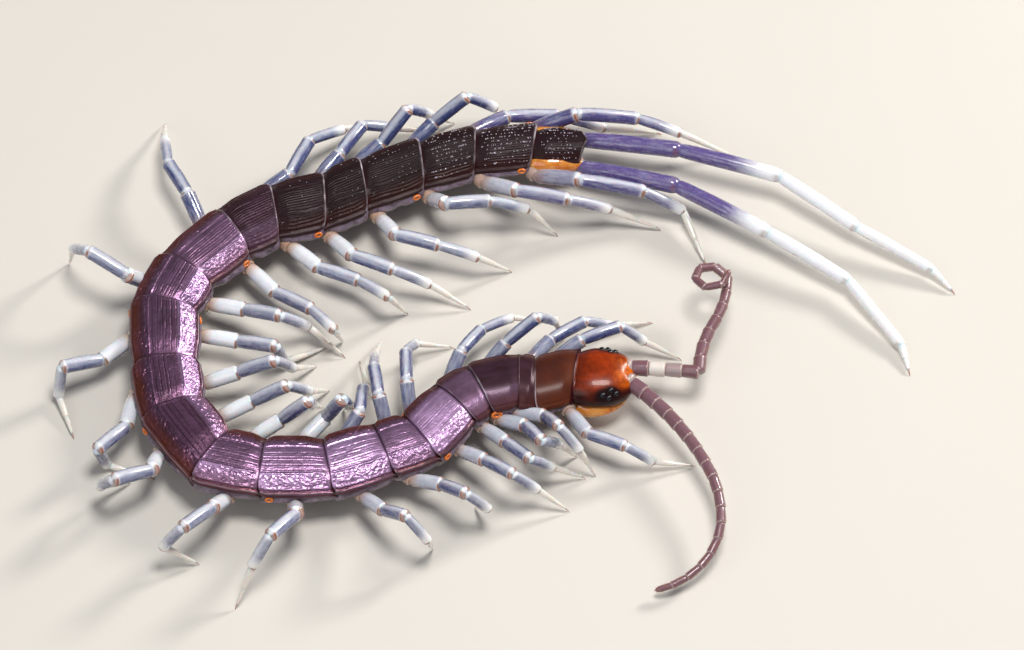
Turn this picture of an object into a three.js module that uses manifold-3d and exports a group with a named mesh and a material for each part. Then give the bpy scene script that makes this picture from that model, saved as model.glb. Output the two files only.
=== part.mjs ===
// A giant centipede, 60 mm from head to tail, standing in an open S-shaped curl.
// Millimetres, +Z up. The floor is z = 0, the head looks along +X and the last legs trail to +X too.
import * as THREE from 'three';
import { mergeVertices } from 'three/addons/utils/BufferGeometryUtils.js';
import Module from 'manifold-3d';

// Body: where the neck stands, and the heights of back and belly above the floor.
const neck = { x: 3.45, y: -3.0, skew: -24 };
const backHeight = 3.35;
const bellyHeight = 1.05;
const cutGap = 0.06;

// Each trunk segment from neck to tail: its length and width, the course it takes as a compass
// angle from +X, how far back along it the leg is hung, and how its rear margin is skewed.
const segments = [
  { length: 2.15, width: 3.5, course: 196, hip: 0.38 },
  { length: 0.85, width: 3.45, course: 165, hip: 1.0 },
  { length: 2.2, width: 3.5, course: 195, hip: 0.72 },
  { length: 1.55, width: 3.5, course: 217, hip: 0.6 },
  { length: 2.75, width: 3.6, course: 231, hip: 0.6 },
  { length: 2.05, width: 3.7, course: 201, hip: 0.6 },
  { length: 3.0, width: 3.9, course: 200, hip: 0.6 },
  { length: 3.4, width: 3.9, course: 180, hip: 0.5 },
  { length: 2.8, width: 3.9, course: 166, hip: 0.5 },
  { length: 3.6, width: 3.9, course: 125, hip: 0.6 },
  { length: 2.9, width: 3.9, course: 99, hip: 0.6 },
  { length: 3.6, width: 3.9, course: 92, hip: 0.6 },
  { length: 2.5, width: 3.9, course: 65, hip: 0.6 },
  { length: 3.45, width: 3.9, course: 45, hip: 0.8, skew: -5 },
  { length: 2.5, width: 4.0, course: 31, hip: 0.92, skew: -13 },
  { length: 2.75, width: 4.0, course: 15, hip: 0.92, skew: -17 },
  { length: 2.3, width: 3.9, course: 27, hip: 1.0, skew: -16 },
  { length: 3.35, width: 3.7, course: 24, hip: 0.92, skew: -14 },
  { length: 3.0, width: 3.5, course: 18, hip: 0.96, skew: -13 },
  { length: 3.2, width: 3.2, course: 7, hip: 0.92, skew: -11 },
  { length: 2.5, width: 2.7, course: 359, hip: 0.9 },
];

// Legs: the lengths of the four long articles, and of the two last pairs that trail behind.
const legArticles = [2.0, 2.35, 2.2, 2.6];
const leg20Articles = [2.8, 3.5, 2.5, 3.3];
const leg21Articles = [5.3, 5.6, 5.0, 4.6, 1.8];
const frontLegScale = 0.9;
const leg19Scale = 1.2;
const trochanterLength = 0.35;
const hipHeight = 1.75;
const hipReach = 0.78;
const leg21HipReach = 0.5;
const footRadius = 0.25;
const legRadii = [0.42, 0.4, 0.34, 0.26];
const leg21Radii = [0.48, 0.43, 0.39, 0.34, 0.26];

// How each leg stands, article by article: its compass angle and its slope in degrees.
// The last article has only a compass angle, because its slope is what brings the claw to the floor.
const rightPose = [
  [[302, 8], [336, 4], [355, -42], [5]],
  [[338, 25], [296, 38], [338, -54], [345]],
  [[325, 30], [298, 30], [40, -52], [30]],
  [[312, 20], [309, 22], [20, -50], [10]],
  [[320, 25], [318, 20], [0, -50], [350]],
  [[335, 22], [315, 32], [5, -55], [120]],
  [[310, 24], [315, 38], [335, -52], [75]],
  [[275, 46], [235, 20], [215, -58], [235]],
  [[245, 42], [230, 20], [180, -60], [5]],
  [[260, 33], [212, 22], [135, -58], [42]],
  [[260, 5], [232, 14], [50, -75], [344]],
  [[225, 5], [205, 18], [230, -78], [290]],
  [[215, 56], [152, 16], [128, -45], [118]],
  [[115, 20], [118, -4], [98, -18], [93]],
  [[34, 14], [64, 4], [32, -14], [56]],
  [[50, 14], [60, -4], [18, -30], [8]],
  [[36, 20], [42, 36], [39, -50], [32]],
  [[42, 20], [22, 36], [15, -45], [85]],
  [[27, 4], [8, -10], [355, -18], [0]],
  [[3, 28], [10, -20], [340, -4], [352]],
  [[349, 5], [343, -1], [325, -8], [331, -10], [315]],
];
const leftPose = [
  [[27, 25], [18, 8], [2, -50], [350]],
  [[50, 2], [32, 2], [22, -40], [14]],
  [[38, 38], [30, 28], [41, -52], [31]],
  [[64, 28], [59, -16], [33, -12], [25]],
  [[98, 45], [92, -12], [70, -42], [15]],
  [[110, 50], [98, -12], [90, -40], [80]],
  [[46, 44], [86, -22], [72, -60], [105]],
  [[46, 12], [346, 66], [74, -64], [105]],
  [[28, 20], [0, 50], [84, -62], [66]],
  [[21, 18], [1, 38], [35, -52], [55]],
  [[8, 22], [355, 35], [41, -58], [50]],
  [[347, 5], [337, 20], [48, -75], [30]],
  [[341, 13], [332, 23], [17, -48], [332]],
  [[314, -4], [327, 7], [306, 15], [67]],
  [[318, 0], [337, 3], [318, 14], [26]],
  [[307, 18], [337, 0], [351, -26], [342]],
  [[299, 24], [345, -2], [348, -14], [12]],
  [[303, 42], [8, -5], [0, -20], [349]],
  [[324, 27], [346, 3], [9, -32], [354]],
  [[335, 25], [356, -12], [350, -31], [292]],
  [[345, 3], [329, -2], [328, -8], [307, -9], [284]],
];

// Head, poison claws, eyes and antennae.
const head = { length: 3.3, width: 3.45, height: 1.25, course: 0, base: 1.9, slant: 0.17, slantEnd: 1.8 };
const antennaArticle = 0.88;
const antennaBaseRadius = 0.4;
const antennaTipRadius = 0.25;
const antennaRoot = { forward: 3.0, aside: 0.5, height: 2.35 };
const rightAntenna = {
  start: 322,
  stretches: [
    { articles: 8, turn: -3.5, slope: -2 },
    { articles: 3, turn: -8, slope: -8 },
    { articles: 6, turn: -13, slope: -12 },
  ],
};
const leftAntenna = {
  start: 356,
  stretches: [
    { articles: 4, turn: -1, slope: 3 },
    { articles: 1, turn: 93, slope: 3 },
    { articles: 3, turn: -8, slope: 3 },
    { articles: 3, turn: 8, slope: 0 },
    { articles: 6, turn: 56, slope: 13 },
  ],
};
// A poison claw's bend, as how far forward of the neck, how far aside and how high it passes.
const clawRoute = [
  [0.15, 1.15, 1.45],
  [0.85, 1.48, 1.45],
  [1.75, 1.42, 1.52],
  [2.45, 1.02, 1.5],
  [2.85, 0.42, 1.4],
];
const clawRadius = { base: 0.52, tip: 0.1 };
const clawSteps = 7;
const eyes = {
  forward: 1.72, aside: 1.42, height: 2.5, length: 0.62, depth: 0.36,
  spacing: 0.24, ocellusRadius: 0.13, gap: 0.08,
};

// Colours.
const shellBrown = { color: 0x3a2430, roughness: 0.35, metalness: 0 };
const shellViolet = { color: 0x6a4468, roughness: 0.35, metalness: 0 };
const headAmber = { color: 0x8a3d12, roughness: 0.2, metalness: 0 };
const legBlue = { color: 0x8b8fb4, roughness: 0.3, metalness: 0 };
const clawAmber = { color: 0xb05a1a, roughness: 0.2, metalness: 0 };
const antennaUmber = { color: 0x74452f, roughness: 0.5, metalness: 0 };
const eyeBlack = { color: 0x08080a, roughness: 0.08, metalness: 0 };

const limbSides = 6;
const antennaSides = 6;

const wasm = await Module();
wasm.setup();

// A compass angle in degrees, and a slope, as a unit vector.
function direction(course, slope = 0) {
  const flat = Math.cos(THREE.MathUtils.degToRad(slope));
  const turn = THREE.MathUtils.degToRad(course);
  return new THREE.Vector3(
    flat * Math.cos(turn),
    flat * Math.sin(turn),
    Math.sin(THREE.MathUtils.degToRad(slope)),
  );
}

function turnBetween(from, to) {
  return ((((to - from) % 360) + 540) % 360) - 180;
}

function midCourse(from, to) {
  return from + turnBetween(from, to) / 2;
}

// A closed body through a row of rings with the same number of points each.
function loft(rings) {
  const sides = rings[0].length;
  const points = rings.flat();
  const triangles = [];
  for (let ring = 0; ring + 1 < rings.length; ring += 1) {
    for (let side = 0; side < sides; side += 1) {
      const next = (side + 1) % sides;
      const a = ring * sides + side;
      const b = ring * sides + next;
      const c = a + sides;
      const d = b + sides;
      triangles.push(a, b, d, a, d, c);
    }
  }
  const last = (rings.length - 1) * sides;
  for (let side = 1; side + 1 < sides; side += 1) {
    triangles.push(0, side + 1, side);
    triangles.push(last, last + side, last + side + 1);
  }
  const geometry = new THREE.BufferGeometry().setFromPoints(points);
  geometry.setIndex(triangles);
  if (signedVolume(geometry) < 0) {
    geometry.setIndex(triangles.reverse());
  }
  return geometry;
}

function signedVolume(geometry) {
  const place = geometry.getAttribute('position');
  const index = geometry.getIndex();
  const corner = [new THREE.Vector3(), new THREE.Vector3(), new THREE.Vector3()];
  let volume = 0;
  for (let i = 0; i < index.count; i += 3) {
    corner.forEach((point, k) => point.fromBufferAttribute(place, index.getX(i + k)));
    volume += corner[0].dot(corner[1].cross(corner[2])) / 6;
  }
  return volume;
}

function toSolid(geometry) {
  const bare = geometry.clone();
  bare.deleteAttribute('normal');
  bare.deleteAttribute('uv');
  const merged = mergeVertices(bare, 1e-5);
  return new wasm.Manifold(new wasm.Mesh({
    numProp: 3,
    vertProperties: new Float32Array(merged.getAttribute('position').array),
    triVerts: new Uint32Array(merged.getIndex().array),
  }));
}

function toGeometry(solid) {
  const mesh = solid.getMesh();
  const geometry = new THREE.BufferGeometry();
  geometry.setAttribute('position', new THREE.BufferAttribute(mesh.vertProperties, 3));
  geometry.setIndex(new THREE.BufferAttribute(mesh.triVerts, 1));
  return geometry;
}

// Everything below the floor, taken off each foot to leave a small flat on it.
const floorBlock = new THREE.BoxGeometry(80, 80, 4);
floorBlock.translate(0, 0, -2);
const belowFloor = toSolid(floorBlock);

// The trunk's run: where each segment starts, and the neck and tail ends of the row.
function trunkRun() {
  const starts = [new THREE.Vector3(neck.x, neck.y, 0)];
  segments.forEach(({ length, course }, i) => {
    starts.push(starts[i].clone().addScaledVector(direction(course), length));
  });
  return starts;
}

const starts = trunkRun();

// The back is a little lower at the neck and tail than along the middle.
function backAt(segment) {
  const nearNeck = Math.max(0, 2 - segment) * 0.1;
  const nearTail = Math.max(0, segment - 17) * 0.1;
  return backHeight - nearNeck - nearTail;
}

// One cross-section of the trunk: arched plate, its edge, the soft flank and the flat belly.
function trunkSection(half, back, belly) {
  const side = [
    [0.38 * half, back - 0.05],
    [0.72 * half, back - 0.25],
    [half, back - 0.72],
    [0.9 * half, back - 0.98],
    [0.76 * half, 1.6],
    [0.58 * half, belly + 0.05],
  ];
  const mirrored = side.map(([aside, up]) => [-aside, up]).reverse();
  return [[0, back], ...side, [0, belly], ...mirrored];
}

function trunkRing(segment, along, grow) {
  const { length, width, course } = segments[segment];
  const before = segment > 0 ? segments[segment - 1].course : course;
  const after = segment < segments.length - 1 ? segments[segment + 1].course : course;
  const frontSkew = segment > 0 ? segments[segment - 1].skew ?? 0 : neck.skew;
  const rearSkew = segments[segment].skew ?? 0;
  const facing = along < 0.25
    ? midCourse(before, course) + frontSkew
    : along > 0.75 ? midCourse(course, after) + rearSkew : course + (frontSkew + rearSkew) / 2;
  const mitre = 1 / Math.cos(THREE.MathUtils.degToRad(turnBetween(facing, course)));
  const tuck = along < 0.25 ? 0.93 : 1;
  const dip = along < 0.25 ? 0.12 : 0;
  const half = (width / 2) * tuck + grow;
  const centre = starts[segment].clone().addScaledVector(direction(course), along * length);
  const across = direction(facing - 90);
  const section = trunkSection(half, backAt(segment) - dip + grow, bellyHeight - grow);
  return section.map(([aside, up]) => (
    centre.clone().addScaledVector(across, aside * mitre).setZ(up)
  ));
}

function trunkRings(first, last, grow = 0) {
  const rings = [];
  for (let segment = first; segment <= last; segment += 1) {
    const edge = cutGap / 2 / segments[segment].length;
    [edge, 0.5, 1 - edge].forEach((along) => rings.push(trunkRing(segment, along, grow)));
  }
  return rings;
}

const trunkWithRoom = toSolid(loft(trunkRings(0, segments.length - 1, cutGap)));

// A round ring of a limb, square to the way the limb runs.
function limbRing(centre, along, radius, sides) {
  const up = new THREE.Vector3(0, 0, 1);
  const aside = new THREE.Vector3().crossVectors(along, up).normalize();
  const above = new THREE.Vector3().crossVectors(aside, along).normalize();
  return Array.from({ length: sides }, (_, k) => {
    const turn = (2 * Math.PI * (k + 0.5)) / sides;
    return centre.clone()
      .addScaledVector(aside, radius * Math.cos(turn))
      .addScaledVector(above, radius * Math.sin(turn));
  });
}

function articlesOf(number) {
  if (number === 21) return leg21Articles;
  if (number === 20) return leg20Articles;
  const scale = number <= 7 ? frontLegScale : number === 19 ? leg19Scale : 1;
  return legArticles.map((length) => length * scale);
}

// The joints of a leg from the hip inside the flank to the claw on the floor.
function legJoints(number, side, pose) {
  const { length, width, course, hip } = segments[number - 1];
  const outward = direction(course + side * 90);
  const aside = number === 21 ? leg21HipReach : hipReach;
  const swing = outward.clone().add(direction(pose[0][0])).normalize();
  const root = starts[number - 1].clone()
    .addScaledVector(direction(course), hip * length)
    .addScaledVector(outward, (aside * width) / 2)
    .setZ(hipHeight);
  const joints = [root, root.clone().addScaledVector(swing, trochanterLength)];
  const lengths = articlesOf(number);
  pose.forEach(([heading, slope], article) => {
    const from = joints.at(-1);
    const tilt = slope ?? slopeToFloor(from.z, lengths[article]);
    joints.push(from.clone().addScaledVector(direction(heading, tilt), lengths[article]));
  });
  return joints;
}

// The slope that brings a foot down until the floor takes a thin slice off its underside.
function slopeToFloor(height, length) {
  const steep = Math.asin(-height / length);
  const rest = 0.6 * footRadius * Math.cos(steep);
  return THREE.MathUtils.radToDeg(Math.asin((rest - height) / length));
}

function legGeometry(number, side, pose) {
  const joints = legJoints(number, side, pose);
  const radii = number === 21 ? leg21Radii : legRadii;
  const rings = [];
  const last = joints.length - 1;
  joints.forEach((joint, k) => {
    const before = k > 0 ? joint.clone().sub(joints[k - 1]).normalize() : null;
    const after = k < last ? joints[k + 1].clone().sub(joint).normalize() : null;
    const along = before && after ? before.clone().add(after).normalize() : before ?? after;
    const thickness = radii[Math.min(k > 0 ? k - 1 : 0, radii.length - 1)];
    if (k < 2 || k >= last - 1) {
      rings.push(limbRing(joint, along, k === last ? footRadius : thickness, limbSides));
      return;
    }
    const swelling = joint.clone().addScaledVector(before, -0.25);
    const neckOfNext = joint.clone().addScaledVector(after, 0.1);
    rings.push(limbRing(swelling, before, radii[k - 2], limbSides));
    rings.push(limbRing(neckOfNext, along, radii[k - 1] * 0.95, limbSides));
  });
  return toGeometry(toSolid(loft(rings)).subtract(trunkWithRoom).subtract(belowFloor));
}

// A point in the head's own frame: forward of the neck, to its left, and above the floor.
function headPoint(forward, aside, height) {
  return starts[0].clone()
    .addScaledVector(direction(head.course), forward)
    .addScaledVector(direction(head.course + 90), aside)
    .setZ(height);
}

function headRings(grow = 0) {
  const stations = [
    [cutGap * 2, 0.84, 0.8],
    [0.45, 0.94, 0.93],
    [1.1, 1, 1],
    [1.8, 0.93, 1],
    [2.4, 0.79, 0.88],
    [2.85, 0.63, 0.72],
    [head.length - 0.15, 0.42, 0.5],
  ];
  return stations.map(([forward, wide, tall]) => {
    const slant = head.slant * Math.max(0, 1 - forward / head.slantEnd);
    const half = (head.width / 2) * wide + grow;
    const top = head.base + head.height * tall + grow;
    const under = head.base - 0.62 * tall - grow;
    const mid = head.base + 0.18;
    return [
      [0, top], [0.4 * half, top - 0.04], [0.78 * half, top - 0.28], [half, mid + 0.1],
      [half * 0.95, mid - 0.12], [0.62 * half, under + 0.12], [0, under],
      [-0.62 * half, under + 0.12], [-half * 0.95, mid - 0.12], [-half, mid + 0.1],
      [-0.78 * half, top - 0.28], [-0.4 * half, top - 0.04],
    ].map(([aside, up]) => headPoint(forward + slant * aside, aside, up));
  });
}

const headWithRoom = toSolid(loft(headRings(cutGap)));

// The poison claws curve forward and inward under the head.
function clawGeometry(side) {
  const path = new THREE.CatmullRomCurve3(
    clawRoute.map(([forward, aside, height]) => headPoint(forward, side * aside, height)));
  const rings = Array.from({ length: clawSteps + 1 }, (_, k) => {
    const along = k / clawSteps;
    const radius = THREE.MathUtils.lerp(clawRadius.base, clawRadius.tip, along ** 1.6);
    return limbRing(path.getPoint(along), path.getTangent(along), radius, limbSides);
  });
  return toGeometry(toSolid(loft(rings)).subtract(headWithRoom).subtract(trunkWithRoom));
}

// The eyes on one side: a low mound let into the head, with four ocelli joined to it.
function eyeMound(side, grow) {
  const ball = new THREE.IcosahedronGeometry(1, 1);
  ball.scale(eyes.length / 2 + grow, eyes.depth / 2 + grow, eyes.length / 2 + grow);
  ball.rotateZ(THREE.MathUtils.degToRad(head.course));
  const place = headPoint(eyes.forward, side * eyes.aside, eyes.height);
  return toSolid(ball.translate(place.x, place.y, place.z));
}

function eyeSolid(side) {
  const spots = [[-1, 1], [1, 1], [-1, -1], [1, -1]];
  return spots.map(([forward, up]) => {
    const ball = new THREE.OctahedronGeometry(eyes.ocellusRadius, 1);
    const place = headPoint(
      eyes.forward + (forward * eyes.spacing) / 2,
      side * (eyes.aside + eyes.depth * 0.35),
      eyes.height + (up * eyes.spacing) / 2,
    );
    return toSolid(ball.translate(place.x, place.y, place.z));
  }).reduce((all, one) => all.add(one), eyeMound(side, 0));
}

function headGeometry() {
  const eyeRoom = eyeMound(1, eyes.gap).add(eyeMound(-1, eyes.gap));
  return toGeometry(toSolid(loft(headRings())).subtract(eyeRoom).subtract(trunkWithRoom));
}

// An antenna is a row of short articles, here a tapering tube with a ring at each joint.
function antennaGeometry(side, { start, stretches }) {
  const total = stretches.reduce((sum, { articles }) => sum + articles, 0);
  const rings = [];
  let place = headPoint(antennaRoot.forward, side * antennaRoot.aside, antennaRoot.height);
  let heading = start;
  let article = 0;
  let arriving = direction(start);
  stretches.forEach(({ articles, turn, slope }) => {
    for (let k = 0; k < articles; k += 1) {
      heading += turn;
      const along = direction(heading, slope);
      const size = THREE.MathUtils.lerp(antennaBaseRadius, antennaTipRadius, article / total);
      const bend = arriving.clone().add(along).normalize();
      rings.push(limbRing(place, bend, size, antennaSides));
      place = place.clone().addScaledVector(along, antennaArticle);
      arriving = along;
      article += 1;
    }
  });
  rings.push(limbRing(place, arriving, antennaTipRadius * 0.8, antennaSides));
  return toGeometry(toSolid(loft(rings)).subtract(headWithRoom).subtract(belowFloor));
}

const group = new THREE.Group();

function addMesh(name, geometry, look) {
  geometry.computeVertexNormals();
  const mesh = new THREE.Mesh(geometry, new THREE.MeshStandardMaterial(look));
  mesh.name = name;
  group.add(mesh);
}

addMesh('head', headGeometry(), headAmber);
for (let first = 1; first <= segments.length; first += 2) {
  const last = Math.min(first + 1, segments.length);
  const name = last > first ? `trunk_${first}_${last}` : `trunk_${first}`;
  const look = first > 4 && first < 15 ? shellViolet : shellBrown;
  addMesh(name, loft(trunkRings(first - 1, last - 1)), look);
}
[['left', 1, leftPose, leftAntenna], ['right', -1, rightPose, rightAntenna]]
  .forEach(([sideName, side, poses, antenna]) => {
    addMesh(`antenna_${sideName}`, antennaGeometry(side, antenna), antennaUmber);
    addMesh(`poison_claw_${sideName}`, clawGeometry(side), clawAmber);
    addMesh(`eyes_${sideName}`, toGeometry(eyeSolid(side)), eyeBlack);
    poses.forEach((pose, k) => {
      addMesh(`leg_${sideName}_${k + 1}`, legGeometry(k + 1, -side, pose), legBlue);
    });
  });

export default group;
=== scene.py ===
import math

import bmesh
import bpy
import numpy as np
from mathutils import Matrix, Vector


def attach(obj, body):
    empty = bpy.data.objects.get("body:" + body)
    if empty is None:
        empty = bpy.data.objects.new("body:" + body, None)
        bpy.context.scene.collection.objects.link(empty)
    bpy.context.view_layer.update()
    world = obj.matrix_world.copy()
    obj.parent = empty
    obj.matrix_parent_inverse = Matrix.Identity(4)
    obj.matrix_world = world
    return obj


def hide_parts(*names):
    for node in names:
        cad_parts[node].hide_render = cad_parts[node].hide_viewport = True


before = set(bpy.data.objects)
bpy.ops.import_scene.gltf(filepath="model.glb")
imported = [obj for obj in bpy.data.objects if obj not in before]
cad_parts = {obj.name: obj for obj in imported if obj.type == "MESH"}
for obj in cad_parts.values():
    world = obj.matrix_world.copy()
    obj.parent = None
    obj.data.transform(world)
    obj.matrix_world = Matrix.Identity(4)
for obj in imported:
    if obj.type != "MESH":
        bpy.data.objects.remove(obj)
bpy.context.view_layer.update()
mm = 0.001
up = np.array([0.0, 0.0, 1.0])


# The rig: where the trunk lies. Its back droops a little before levelFrom and after levelTo

trunk = {"neck": (3.45, -3.0), "neckSkew": -24, "back": 3.35, "belly": 1.05, "hipHeight": 1.75,
         "droop": 0.1, "levelFrom": 2, "levelTo": 17}
# length, width, course from head to tail, hip along the segment, skew of the rear margin
segments = [
    (2.15, 3.5, 196, 0.38, 0),
    (0.85, 3.45, 165, 1.0, 0),
    (2.2, 3.5, 195, 0.72, 0),
    (1.55, 3.5, 217, 0.6, 0),
    (2.75, 3.6, 231, 0.6, 0),
    (2.05, 3.7, 201, 0.6, 0),
    (3.0, 3.9, 200, 0.6, 0),
    (3.4, 3.9, 180, 0.5, 0),
    (2.8, 3.9, 166, 0.5, 0),
    (3.6, 3.9, 125, 0.6, 0),
    (2.9, 3.9, 99, 0.6, 0),
    (3.6, 3.9, 92, 0.6, 0),
    (2.5, 3.9, 65, 0.6, 0),
    (3.45, 3.9, 45, 0.8, -5),
    (2.5, 4.0, 31, 0.92, -13),
    (2.75, 4.0, 15, 0.92, -17),
    (2.3, 3.9, 27, 1.0, -16),
    (3.35, 3.7, 24, 0.92, -14),
    (3.0, 3.5, 18, 0.96, -13),
    (3.2, 3.2, 7, 0.92, -11),
    (2.5, 2.7, 359, 0.9, 0),
]
lastSegment = len(segments) - 1


def heading(course, slope=0.0):
    turn, rise = math.radians(course), math.radians(slope)
    return np.array([math.cos(rise) * math.cos(turn), math.cos(rise) * math.sin(turn), math.sin(rise)])


def turnBetween(first, second):
    return ((second - first) % 360 + 540) % 360 - 180


def unit(vector):
    return vector / np.linalg.norm(vector)


def fullTurn(count):
    return np.linspace(0, 2 * np.pi, count, endpoint=False)


def oval(turns, aside, above):
    # Points round the origin. The two directions are as long as the oval's half widths.
    return np.outer(np.cos(turns), aside) + np.outer(np.sin(turns), above)


def grid(rows, columns):
    return np.meshgrid(rows, columns, indexing="ij")


def smooth(value, start=0.0, end=1.0):
    part = np.clip((np.asarray(value, float) - start) / (end - start), 0, 1)
    return part * part * (3 - 2 * part)


def bell(value, middle, spread):
    return np.exp(-(((np.asarray(value, float) - middle) / spread) ** 2))


def blotches(x, y, seed):
    # Smooth noise from -1 to 1 on a lattice of unit cells.
    cellX, cellY = np.floor(x), np.floor(y)
    partX, partY = smooth(x - cellX), smooth(y - cellY)

    def corner(stepX, stepY):
        mixed = np.sin((cellX + stepX) * 127.1 + (cellY + stepY) * 311.7 + seed * 74.7) * 43758.5453
        return (mixed - np.floor(mixed)) * 2 - 1

    near = corner(0, 0) * (1 - partX) + corner(1, 0) * partX
    far = corner(0, 1) * (1 - partX) + corner(1, 1) * partX
    return near * (1 - partY) + far * partY


starts = [np.array([*trunk["neck"], 0.0])]
for length, _, course, _, _ in segments:
    starts.append(starts[-1] + heading(course) * length)


def backAt(index):
    steps = max(0, trunk["levelFrom"] - index) + max(0, index - trunk["levelTo"])
    return trunk["back"] - trunk["droop"] * steps


def trunkPlace(index, along, aside, height):
    # Points of a segment from how far along it (0 to 1), how far to its right in mm, and how high.
    length, _, course, _, rearSkew = segments[index]
    along, aside = np.asarray(along, float), np.asarray(aside, float)
    before, after = segments[max(index - 1, 0)][2], segments[min(index + 1, lastSegment)][2]
    frontSkew = segments[index - 1][4] if index > 0 else trunk["neckSkew"]
    front = course + turnBetween(course, before) / 2 + frontSkew
    middle = course + (frontSkew + rearSkew) / 2
    rear = course + turnBetween(course, after) / 2 + rearSkew
    part = np.clip(along, 0, 1)
    facing = np.where(part < 0.5, front + (middle - front) * part * 2,
                      middle + (rear - middle) * (part * 2 - 1))
    mitre = 1 / np.cos(np.radians(facing - course))
    angle = np.radians(facing - 90)
    across = np.stack([np.cos(angle), np.sin(angle), np.zeros_like(angle)], -1)
    place = starts[index] + along[..., None] * length * heading(course) + across * (mitre * aside)[..., None]
    place[..., 2] = height
    return place


# Meshes are gathered as points in mm, with marks that the materials read


class Shape:
    def __init__(self):
        self.points, self.faces, self.marks, self.patches = [], [], {}, []
        self.count = 0

    def add(self, points, faces, marks=None, patch=None):
        points = np.asarray(points, float).reshape(-1, 3)
        self.points.append(points)
        self.faces.extend(tuple(corner + self.count for corner in face) for face in faces)
        for label, values in (marks or {}).items():
            self.marks.setdefault(label, []).append(values.reshape(len(points), -1))
        if patch is not None:
            self.patches.append(patch)
        self.count += len(points)

    def tube(self, rings, marks=None, isLoop=False):
        # A mark is one number, one for each ring, one for each point, or a vector for each point.
        size = rings.shape[:2]
        full = {label: np.broadcast_to(values, rings.shape if np.ndim(values) == 3 else size)
                for label, values in (marks or {}).items()}
        self.add(rings, tubeFaces(*size, isLoop), full)

    def build(self, name, material, slotName, replaced=()):
        mesh = bpy.data.meshes.new(name)
        mesh.from_pydata((np.concatenate(self.points) * mm).tolist(), [], self.faces)
        for label, rows in self.marks.items():
            values = np.concatenate(rows).astype(np.float32)
            kind, key = ("FLOAT_VECTOR", "vector") if values.shape[1] == 3 else ("FLOAT", "value")
            mesh.attributes.new(label, kind, "POINT").data.foreach_set(key, values.ravel())
        if self.patches:
            spots = np.concatenate(self.patches)
            corners = np.zeros(len(mesh.loops), np.int32)
            mesh.loops.foreach_get("vertex_index", corners)
            layer = mesh.uv_layers.new(name="OFBake")
            layer.data.foreach_set("uv", spots[corners].astype(np.float32).ravel())
        work = bmesh.new()
        work.from_mesh(mesh)
        bmesh.ops.recalc_face_normals(work, faces=work.faces)
        work.to_mesh(mesh)
        work.free()
        mesh.shade_smooth()
        mesh.materials.append(material)
        piece = bpy.data.objects.new(name, mesh)
        bpy.context.scene.collection.objects.link(piece)
        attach(piece, "root")
        if replaced:
            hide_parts(*replaced)


def tubeFaces(rings, sides, isLoop=False):
    # Quads round a row of rings. A loop closes on itself, and any other tube has a face over each end.
    faces = []
    for ring in range(rings if isLoop else rings - 1):
        here, there = ring * sides, (ring + 1) % rings * sides
        for side in range(sides):
            beside = (side + 1) % sides
            faces.append((here + side, here + beside, there + beside, there + side))
    if not isLoop:
        faces += [tuple(range(sides)), tuple(range((rings - 1) * sides, rings * sides))]
    return faces


def smoothLine(knots, count):
    # A Catmull-Rom curve through the knots, with count points.
    knots = np.asarray(knots, float)
    padded = np.vstack([2 * knots[0] - knots[1], knots, 2 * knots[-1] - knots[-2]])
    spots = np.linspace(0, len(knots) - 1 - 1e-9, count)
    whole = spots.astype(int)
    part = (spots - whole)[:, None]
    a, b, c, d = (padded[whole + k] for k in range(4))
    return 0.5 * (2 * b + (c - a) * part + (2 * a - 5 * b + 4 * c - d) * part**2
                  + (3 * b - a - 3 * c + d) * part**3)


def tubeRings(centres, radii, sides, flatness=1.0):
    # Rings square to a line of centres, with the top of each ring at a quarter turn.
    along = np.gradient(centres, axis=0)
    along /= np.linalg.norm(along, axis=1)[:, None]
    aside = np.cross(along, up)
    aside /= np.linalg.norm(aside, axis=1)[:, None]
    above = np.cross(aside, along) * flatness
    turns = fullTurn(sides)[None, :, None]
    radii = np.asarray(radii, float)[:, None, None]
    return centres[:, None] + radii * (aside[:, None] * np.cos(turns) + above[:, None] * np.sin(turns))


def dome(centre, normal, radius, height, sides, levels=3):
    # Rings of a small dome, its foot sunk a little into the surface that it stands on.
    aside = unit(np.cross(normal, up + 0.01))
    around = oval(fullTurn(sides), aside, np.cross(normal, aside)) * radius
    lifts = np.arange(levels + 1) / (levels + 0.35) * np.pi / 2
    return np.stack([centre + normal * height * (math.sin(lift) if lift else -0.3) + around * math.cos(lift)
                     for lift in lifts])


def ball(centre, radii, forward, levels=16, sides=24):
    # Rings of a closed ball whose poles point forward.
    aside = unit(np.cross(forward, up))
    around = oval(fullTurn(sides), aside * radii[1], np.cross(aside, forward) * radii[2])
    lifts = np.linspace(-np.pi / 2 + 0.05, np.pi / 2 - 0.05, levels)
    return np.stack([centre + forward * radii[0] * math.sin(lift) + around * math.cos(lift)
                     for lift in lifts])


def sampled(profile, count):
    # Shares along a part and how wide it is there, at count spots of a profile's knots.
    knots = np.array(profile)
    spots = np.linspace(0, len(knots) - 1, count)
    return (np.interp(spots, range(len(knots)), column) for column in knots.T)


# Materials: one class for a socket that can be added and multiplied, and one for a shader tree


class Signal:
    def __init__(self, shader, socket):
        self.shader, self.socket = shader, socket

    def math(self, operation, first, second, clamp=False):
        settings = {"operation": operation, "use_clamp": clamp}
        return self.shader.node("ShaderNodeMath", settings, {0: first, 1: second})

    def __add__(self, other):
        return self.math("ADD", self, other)

    def __radd__(self, other):
        return self.math("ADD", other, self)

    def __sub__(self, other):
        return self.math("SUBTRACT", self, other)

    def __rsub__(self, other):
        return self.math("SUBTRACT", other, self)

    def __mul__(self, other):
        return self.math("MULTIPLY", self, other)

    def __rmul__(self, other):
        return self.math("MULTIPLY", other, self)

    def held(self):
        # Kept between 0 and 1.
        return self.math("ADD", self, 0.0, clamp=True)


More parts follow.
